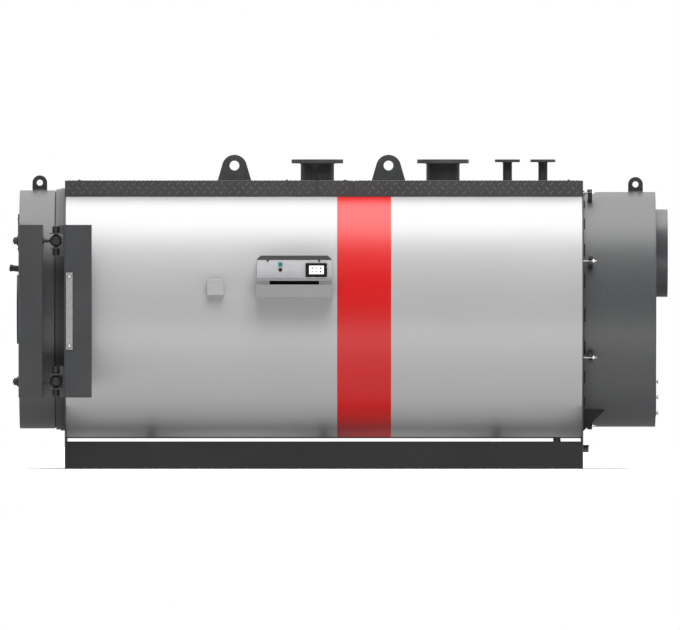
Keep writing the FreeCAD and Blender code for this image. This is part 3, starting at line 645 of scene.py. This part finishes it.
weld_ring(bm, Vector((end_x, 0.0, flue_z)), along_x, flue_radius, 0.005, 96)
put_on("flue_weld", bm, flue_paint, "boiler", "dark_paint")
as_cut("soot_cover", "cleaning_cover", hammered, "boiler", "dark_paint", 0.0015)

# ---- Wing nuts ----
# Six yellow zinc wing nuts on short studs hold the soot cover.
# Each is a pressed hub with two thin ears.
yellow_zinc = finish(
    "yellow_zinc",
    (0.55, 0.50, 0.33),
    0.35,
    clouds=0.15,
    cloud_size=0.02,
    grain=0.00005,
    grain_size=0.002,
    metal=0.8,
)
as_cut("wing_nuts_pressed", "wing_nuts", yellow_zinc, "boiler", "zinc_steel")

# ---- Smoke box clamps and their studs ----
# Eight studs stand in the rear flange and pull black clamp blocks down on the drum.
# The studs are bright zinc with a rolled thread, a hexagon nut and a pointed end.
bright_zinc = finish(
    "bright_zinc", (0.78, 0.78, 0.79), 0.28, cloud_size=0.02, grain=0.00004, grain_size=0.0015, metal=0.6
)
clamp_black = finish(
    "clamp_black", (0.022, 0.022, 0.024), 0.5, clouds=0.2, cloud_size=0.03, grain=0.0003, grain_size=0.003
)
as_cut("clamp_blocks", "smokebox_clamps", clamp_black, "boiler", "dark_paint", 0.002)
clamp_count = 8
clamp_pitch_radius = 0.825
stud_radius = 0.006
thread_pitch = 0.003
thread_stop = 0.012  # both measured back from the far end
point_foot = 0.009
hexagon_nut = [(0.0, 0.0), (0.0, 0.0105), (0.001, 0.0115), (0.009, 0.0115), (0.010, 0.0105), (0.010, 0.0)]
stud_low, stud_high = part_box("smokebox_studs")
clamp_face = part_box("smokebox_clamps")[1].x
stud_length = stud_high.x - stud_low.x


def threaded(start, end, radius, pitch):
    """The outline of a rolled thread between two places along a stud."""
    outline = []
    for turn in range(int((end - start) / pitch)):
        outline.append((start + turn * pitch, radius))
        outline.append((start + (turn + 0.5) * pitch, radius * 0.86))
    return outline


stud_outline = [(0.0, 0.0), (0.0, stud_radius)]
stud_outline += threaded(thread_pitch, stud_length - thread_stop, stud_radius, thread_pitch)
stud_outline += [(stud_length - point_foot, stud_radius * 0.8), (stud_length, 0.0)]
bm = bmesh.new()
for clamp in range(clamp_count):
    angle = math.tau * (clamp + 0.5) / clamp_count
    across = clamp_pitch_radius * math.sin(angle)
    up = clamp_pitch_radius * math.cos(angle)
    foot = Vector((stud_low.x, across, axis_z + up))
    turned(bm, stud_outline, foot, along_x, 16)
    turned(bm, hexagon_nut, foot + along_x * (clamp_face - stud_low.x), along_x, 6)
put_on("clamp_studs", bm, bright_zinc, "boiler", "zinc_steel", "smokebox_studs")

# ---- Gussets and hoisting eye of the smoke box ----
# Two plates carry the drum's weight on the rear end plate, and one eye on top takes a hoist hook.
# All are flame cut; the gussets are welded on one edge, and the eye along both sides of its foot.
# The gussets are painted near black, darker than the frame paint: painted shade for the shade they sit in
# under the drum.
gusset_painted_shade = finish(
    "gusset_painted_shade", (0.010, 0.010, 0.011), 0.55, clouds=0.12, cloud_size=0.08, grain=0.0002, grain_size=0.003
)
as_cut("drum_gussets", "smokebox_gussets", gusset_painted_shade, "boiler", "dark_paint", 0.0015)
as_cut("drum_hoist_eye", "smokebox_eye", dark_paint, "boiler", "dark_paint", 0.0015)
eye_weld = 0.005


def weld_run(bm, start, end, size):
    """A straight fillet weld from one place to another."""
    run = end - start
    place = Matrix.Translation((start + end) / 2) @ run.to_track_quat("Z", "Y").to_matrix().to_4x4()
    bead = bmesh.ops.create_cone(
        bm, cap_ends=True, segments=10, radius1=size, radius2=size, depth=run.length, matrix=place
    )
    rims = [edge for edge in bm.edges if edge.verts[0] in bead["verts"] and len(edge.link_faces) == 2]
    rims = [edge for edge in rims if any(len(face.verts) > 4 for face in edge.link_faces)]
    rounded(bm, rims, size * 0.4)


def foot_welds(node, foot_z):
    """A weld along both sides of an eye plate, where it stands on a drum."""
    low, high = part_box(node)
    bm = bmesh.new()
    for y in (low.y, high.y):
        start = Vector((low.x + eye_weld, y, foot_z))
        end = Vector((high.x - eye_weld, y, foot_z))
        weld_run(bm, start, end, eye_weld)
    return bm


bm = foot_welds("smokebox_eye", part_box("smokebox_shell")[1].z)
put_on("drum_eye_welds", bm, hammered, "boiler", "dark_paint")

# ---- Drain ----
# A bent pipe drains the shell's lowest point and ends in a plain mouth behind the rear plate.
# It is welded to the shell and sprayed dark.
as_cut("drain_bend", "drain_pipe", dark_paint, "boiler", "dark_paint")

# ---- Hinge posts and ears ----
# A folded channel stands on each side of the front end of the casing and carries two forked ears.
# The ears are plate, welded to the post. A steel pin stands in each fork on the right,
# with a cap nut over its head and a turned collar under the lower ear.
as_cut("door_posts", "hinge_posts", dark_paint, "boiler", "dark_paint", 0.002)
as_cut("fork_ears", "hinge_ears", dark_paint, "boiler", "dark_paint", 0.0022)
as_cut("fork_pins", "hinge_pins", clamp_black, "boiler", "zinc_steel", 0.0012)
pin_x, pin_y = -1.754, -0.890
pin_middles = (0.573, 1.495)
ear_reach = 0.052  # from the middle of a fork to the outside of its ears
rest_gap = 0.0003
cap_hollow = 0.0145
cap_nut = [
    (0.0, 0.0203),
    (0.0, 0.0225),
    (0.002, 0.0235),
    (0.041, 0.0235),
    (0.045, 0.0205),
    (0.048, 0.0),
    (cap_hollow, 0.0),
    (cap_hollow, 0.0203),
]
pin_collar = [
    (0.0, 0.0153),
    (0.0, 0.0220),
    (0.002, 0.0235),
    (0.041, 0.0235),
    (0.044, 0.0215),
    (0.044, 0.0153),
]
bm = bmesh.new()
for z in pin_middles:
    turned(bm, cap_nut, Vector((pin_x, pin_y, z + ear_reach + rest_gap)), upward, 28, closed=True)
    turned(bm, pin_collar, Vector((pin_x, pin_y, z - ear_reach - rest_gap)), -upward, 28, closed=True)
put_on("pin_caps_and_collars", bm, clamp_black, "boiler", "zinc_steel")

# ---- Post strip ----
# A bare strip of galvanised steel on the right post, held by a round-headed bolt at each end.
# The zinc has a fine spangle and is duller than the studs. A near-black ring under each head is painted
# shade, the dark outline round the head.
galvanised = finish(
    "galvanised_sheet",
    (0.40, 0.40, 0.405),
    0.42,
    clouds=0.12,
    cloud_size=0.012,
    grain=0.00003,
    grain_size=0.002,
    metal=0.35,
)
near_side_out = Vector((0.0, -1.0, 0.0))
strip_head = 0.006
strip_bolt_in = 0.026
strip_low, strip_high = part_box("post_strip")
strip_face = strip_low.y + strip_head
bm = worked("post_strip")
bmesh.ops.bisect_plane(
    bm,
    geom=bm.verts[:] + bm.edges[:] + bm.faces[:],
    dist=0.00002,
    plane_co=(0.0, strip_face, 0.0),
    plane_no=near_side_out,
    clear_outer=True,
)
open_edges = [edge for edge in bm.edges if edge.is_boundary]
bmesh.ops.holes_fill(bm, edges=open_edges, sides=0)
strip = put_on("galvanised_strip", bm, galvanised, "boiler", "zinc_steel", "post_strip")
break_edges(strip, 0.001)

strip_dome = [
    (0.0, 0.0),
    (0.0, 0.0105),
    (0.002, 0.0105),
    (0.0045, 0.0085),
    (0.0058, 0.005),
    (strip_head, 0.0),
]
strip_shade_ring = [(0.0, 0.0105), (0.0, 0.0135), (0.0012, 0.0135), (0.0012, 0.0105)]
for name, outline, paint, closed in (
    ("strip_bolt_heads", strip_dome, bright_zinc, False),
    ("strip_head_shade_rings", strip_shade_ring, clamp_black, True),
):
    bm = bmesh.new()
    for z in (strip_low.z + strip_bolt_in, strip_high.z - strip_bolt_in):
        foot = Vector(((strip_low.x + strip_high.x) / 2, strip_face, z))
        turned(bm, outline, foot, near_side_out, 24, closed)
    put_on(name, bm, paint, "boiler", "zinc_steel")

# ---- Door drum ----
# The front door is a shallow drum of rolled and folded plate, with two flat wings for its beams.
# It has the hammered heat paint of the smoke box on its rim and face.
as_cut("door_drum", "door_shell", hammered, "door", "dark_paint", 0.0015)

# ---- Door lining and seal ----
# The drum is filled with cast refractory, trowelled round the burner's throat, and a rope seals its edge.
# The lining is pale buff with dark burnt patches and small pits; the rope is braided and graphited.
lining = finish(
    "cast_refractory", (0.42, 0.36, 0.28), 0.95, clouds=0.28, cloud_size=0.12, grain=0.003, grain_size=0.012
)
rope_grey = finish(
    "graphited_rope", (0.035, 0.035, 0.036), 0.9, clouds=0.2, cloud_size=0.03, grain=0.002, grain_size=0.004
)
as_cut("cast_door_lining", "door_refractory", lining, "door", "refractory", 0.006)
as_cut("door_rope_seal", "door_seal", rope_grey, "door", "seal_rope")

# ---- Door beams ----
# An upright channel on each wing of the door takes the pull of the eye bolts.
# It is folded from plate and sprayed like the posts.
as_cut("door_beam_channels", "door_beams", dark_paint, "door", "dark_paint", 0.002)

# ---- Eye bolts ----
# Four long bolts pass through the beams. Each has a heavy eye at the pin and a nut before the door,
# and its rod swells in a cone to the eye. They are forged and left black.
as_cut("forged_eye_bolts", "door_eye_bolts", clamp_black, "door", "zinc_steel", 0.0012)

# ---- Door fittings ----
# On the door's face: the burner plate with four holes, a bolted cover plate, and the flame peephole.
# A flame-cut eye on top takes a hoist hook, and is welded along its foot. All are sprayed dark.
fitting_edge = 0.0015
as_cut("burner_mounting_plate", "burner_plate", dark_paint, "door", "dark_paint", fitting_edge)
as_cut("door_cover_sheet", "door_cover_plate", dark_paint, "door", "dark_paint", fitting_edge)
as_cut("peephole_tube", "sight_tube", clamp_black, "door", "zinc_steel", fitting_edge)
as_cut("door_hoist_eye", "door_eye", dark_paint, "door", "dark_paint", fitting_edge)
bm = foot_welds("door_eye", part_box("door_shell")[1].z)
put_on("door_eye_welds", bm, hammered, "door", "dark_paint")

cover_bolt = [(0.0, 0.0), (0.0, 0.0095), (0.0055, 0.0095), (0.0065, 0.008), (0.0065, 0.0)]
cover_bolt_across = 0.025  # in from the sides of the cover
cover_bolt_up = 0.022
cover_low, cover_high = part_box("door_cover_plate")
bm = bmesh.new()
for y in (cover_low.y + cover_bolt_across, 0.0, cover_high.y - cover_bolt_across):
    for z in (cover_low.z + cover_bolt_up, cover_high.z - cover_bolt_up):
        turned(bm, cover_bolt, Vector((cover_low.x, y, z)), -along_x, 6)
put_on("door_cover_bolts", bm, bright_zinc, "door", "zinc_steel")

# ---- Panel box ----
# The lower box of the control panel is folded grey sheet, screwed to the casing.
# It is plain, with the folds of its corners a little rounded.
panel_grey = finish(
    "panel_box_grey", (0.30, 0.30, 0.305), 0.45, clouds=0.03, cloud_size=0.3, grain=0.00003, grain_size=0.002
)
as_cut("panel_lower_box", "panel_box", panel_grey, "boiler", "panel_sheet", 0.002)

# ---- Console ----
# The leaning instrument face stands on two feet over the lower box, with a slot between them for cables.
# It is pale sheet with a fine leather-like grain in its paint. A near-black plate at the back of the slot is
# painted shade, the dark of the slot.
console_pale = finish(
    "console_grained_coat",
    (0.55, 0.55, 0.57),
    0.42,
    clouds=0.04,
    cloud_size=0.05,
    grain=0.0003,
    grain_size=0.0035,
)
console_face_foot = 1.2452
bm = worked("panel_console")
bmesh.ops.bisect_plane(
    bm,
    geom=bm.verts[:] + bm.edges[:] + bm.faces[:],
    dist=0.0001,
    plane_co=(0.0, 0.0, console_face_foot),
    plane_no=upward,
)
for face in bm.faces:
    face.material_index = 1 if face.calc_center_median().z < console_face_foot else 0
console = put_on("console_housing", bm, console_pale, "boiler", "console_sheet", "panel_console", crease=5)
console.data.materials.append(panel_grey)
break_edges(console, 0.002)

# A near-black plate at the back of the cable slot: painted shade.
slot_shade_low_x, slot_shade_high_x = -0.356, -0.032
slot_shade_y, slot_shade_z = -0.9645, 1.2205
slot_shade_depth = 0.008
slot_shade_height = 0.0245
slot_shade_black = finish(
    "slot_painted_shade", (0.004, 0.004, 0.004), 0.9, clouds=0.3, cloud_size=0.004, grain=0.002, grain_size=0.001
)
bm = bmesh.new()
middle = Matrix.Translation(((slot_shade_low_x + slot_shade_high_x) / 2, slot_shade_y, slot_shade_z))
size = Matrix.Diagonal((slot_shade_high_x - slot_shade_low_x, slot_shade_depth, slot_shade_height, 1.0))
bmesh.ops.create_cube(bm, size=1.0, matrix=middle @ size)
rounded(bm, bm.edges[:], 0.001)
put_on("cable_slot_shade_plate", bm, slot_shade_black, "boiler", "panel_plastic")

# ---- Lid ----
# A moulded dark lid with a sloped front and sloped ends covers the console.
# It is matt plastic, and two round black screws under its front edge hold it.
lid_black = finish(
    "lid_plastic",
    (0.007, 0.007, 0.0075),
    0.6,
    clouds=0.05,
    cloud_size=0.1,
    grain=0.00005,
    grain_size=0.0015,
    gleam=0.3,
)
as_cut("moulded_lid", "panel_lid", lid_black, "boiler", "panel_plastic", 0.003)

console_foot = Vector((0.0, -1.000, 1.245))
console_top = Vector((0.0, -0.982, 1.370))
face_up = (console_top - console_foot).normalized()
face_out = face_up.cross(along_x).normalized()
if face_out.y > 0.0:
    face_out = -face_out


def on_face(x, drop):
    """A place on the console's leaning face, so far below its top edge."""
    return console_top - face_up * drop + Vector((x, 0.0, 0.0))


lid_screw = [(-0.002, 0.0), (-0.002, 0.0065), (0.004, 0.0065), (0.0055, 0.005), (0.0055, 0.0)]
lid_screw_x = (-0.367, -0.031)
lid_screw_drop = 0.006
bm = bmesh.new()
for x in lid_screw_x:
    turned(bm, lid_screw, on_face(x, lid_screw_drop), face_out, 20)
put_on("lid_screws", bm, lid_black, "boiler", "panel_plastic")

# ---- Switches ----
# A square lamp switch glows teal in a pale frame, and a round black cap covers the safety thermostat.
# A small white dot beside the cap marks its off place.


def plate_on_face(bm, x, drop, width, tall, low, high, corner):
    """A flat plate with rounded corners on the leaning face, from so far out of it to so far out."""
    place = Matrix((along_x, face_up, face_out)).transposed().to_4x4()
    place.translation = on_face(x, drop) + face_out * (low + high) / 2
    made = bmesh.ops.create_cube(bm, size=1.0, matrix=place @ Matrix.Diagonal((width, tall, high - low, 1.0)))
    corners = set(made["verts"])
    upright = []
    for edge in bm.edges:
        start, end = edge.verts
        if start in corners and end in corners and abs((end.co - start.co).normalized().dot(face_out)) > 0.9:
            upright.append(edge)
    rounded(bm, upright, corner, segments=4)


teal = finish(
    "teal_lens", (0.0, 0.23, 0.22), 0.25, clouds=0.08, cloud_size=0.01, grain=0.00002, grain_size=0.001
)
frame_grey = finish(
    "switch_frame", (0.20, 0.30, 0.30), 0.4, clouds=0.05, cloud_size=0.02, grain=0.00003, grain_size=0.001
)
white_mark = finish(
    "white_mark", (0.75, 0.75, 0.75), 0.5, clouds=0.05, cloud_size=0.01, grain=0.00001, grain_size=0.001
)
switch_low, switch_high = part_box("panel_switches")
switch_x = (switch_low.x + switch_high.x) / 2
lamp_drop = 0.031
lamp_frame_side = 0.0285
lamp_lens_side = 0.0225
cap_drop = 0.067
mark_aside = 0.020
mark_side = 0.0035
bm = bmesh.new()
plate_on_face(bm, switch_x, lamp_drop, lamp_frame_side, lamp_frame_side, 0.0, 0.003, 0.003)
put_on("lamp_switch_frame", bm, frame_grey, "boiler", "panel_plastic", "panel_switches")
bm = bmesh.new()
plate_on_face(bm, switch_x, lamp_drop, lamp_lens_side, lamp_lens_side, 0.0028, 0.0058, 0.002)
lamp = put_on("lamp_switch_lens", bm, teal, "boiler", "panel_plastic")
break_edges(lamp, 0.0008)
thermostat_cap = [
    (0.0, 0.0),
    (0.0, 0.012),
    (0.003, 0.012),
    (0.0035, 0.0105),
    (0.0115, 0.0098),
    (0.0130, 0.0085),
    (0.0132, 0.0),
]
bm = bmesh.new()
turned(bm, thermostat_cap, on_face(switch_x, cap_drop), face_out, 28)
put_on("thermostat_cap", bm, lid_black, "boiler", "panel_plastic")
bm = bmesh.new()
plate_on_face(bm, switch_x + mark_aside, cap_drop, mark_side, mark_side, 0.0, 0.0006, 0.0012)
put_on("cap_mark", bm, white_mark, "boiler", "panel_plastic")

# ---- Touch screen ----
# A flat display in a black bezel, with six plain round and square marks on a white page.
# The bezel is satin plastic, and the glass over the page is glossy.
bezel_black = finish(
    "bezel_black", (0.008, 0.008, 0.009), 0.28, clouds=0.05, cloud_size=0.03, grain=0.00001, grain_size=0.001
)
page_white = finish(
    "page_white", (0.85, 0.84, 0.84), 0.12, clouds=0.01, cloud_size=0.05, grain=0.000005, grain_size=0.002
)
page_glow = 0.45
page_shader = page_white.node_tree.nodes["Principled BSDF"]
page_shader.inputs["Emission Color"].default_value = (1.0, 0.98, 0.97, 1.0)
page_shader.inputs["Emission Strength"].default_value = page_glow
screen_low, screen_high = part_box("touch_screen")
screen_x = (screen_low.x + screen_high.x) / 2
bezel_width, bezel_tall = 0.140, 0.092
page_width, page_tall = 0.096, 0.056
bezel_margin = 0.023
screen_drop = bezel_margin + bezel_tall / 2
page_x, page_drop = screen_x + 0.001, screen_drop - 0.001
bm = bmesh.new()
plate_on_face(bm, screen_x, screen_drop, bezel_width, bezel_tall, 0.0, 0.0085, 0.004)
bezel = put_on("screen_bezel", bm, bezel_black, "boiler", "screen_glass", "touch_screen")
break_edges(bezel, 0.0012)
bm = bmesh.new()
plate_on_face(bm, page_x, page_drop, page_width, page_tall, 0.0083, 0.0090, 0.001)
put_on("screen_page", bm, page_white, "boiler", "screen_glass")

icon_side = 0.0105
icon_across = 0.027
icon_up = 0.0115
round_corner, square_corner = 0.0045, 0.002
icons = (
    ("mark_umber", (0.20, 0.07, 0.03), ((-1, 1),)),
    ("mark_sky", (0.35, 0.55, 0.62), ((0, 1), (0, -1))),
    ("mark_ink", (0.03, 0.02, 0.02), ((1, 1), (1, -1))),
    ("mark_rose", (0.62, 0.33, 0.30), ((-1, -1),)),
)
for name, colour, places in icons:
    bm = bmesh.new()
    for across, up in places:
        x = page_x + across * icon_across
        drop = page_drop - up * icon_up
        corner = round_corner if across else square_corner
        plate_on_face(bm, x, drop, icon_side, icon_side, 0.0089, 0.0095, corner)
    paint = finish(name, colour, 0.3, clouds=0.05, cloud_size=0.01, grain=0.00001, grain_size=0.001)
    put_on(name, bm, paint, "boiler", "screen_glass")

# ---- Sensor box ----
# A small closed box of coated sheet stands on the casing beside the panel and holds a terminal block.
# It is folded from one sheet, and its corners are a little rounded.
sensor_paint = finish(
    "sensor_box_coat", (0.42, 0.42, 0.42), 0.42, clouds=0.03, cloud_size=0.2, grain=0.00003, grain_size=0.002
)
as_cut("sensor_housing", "sensor_box", sensor_paint, "boiler", "casing_enamel", 0.0025)

# ---- Pieces under their made copies ----
# The plain piece behind each made one is out of sight, and has the dark paint of the frame.
# The mineral wool keeps its own finish, since the casing is all that covers it.
for node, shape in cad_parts.items():
    if node != "insulation":
        shape.data.materials.clear()
        shape.data.materials.append(dark_paint)
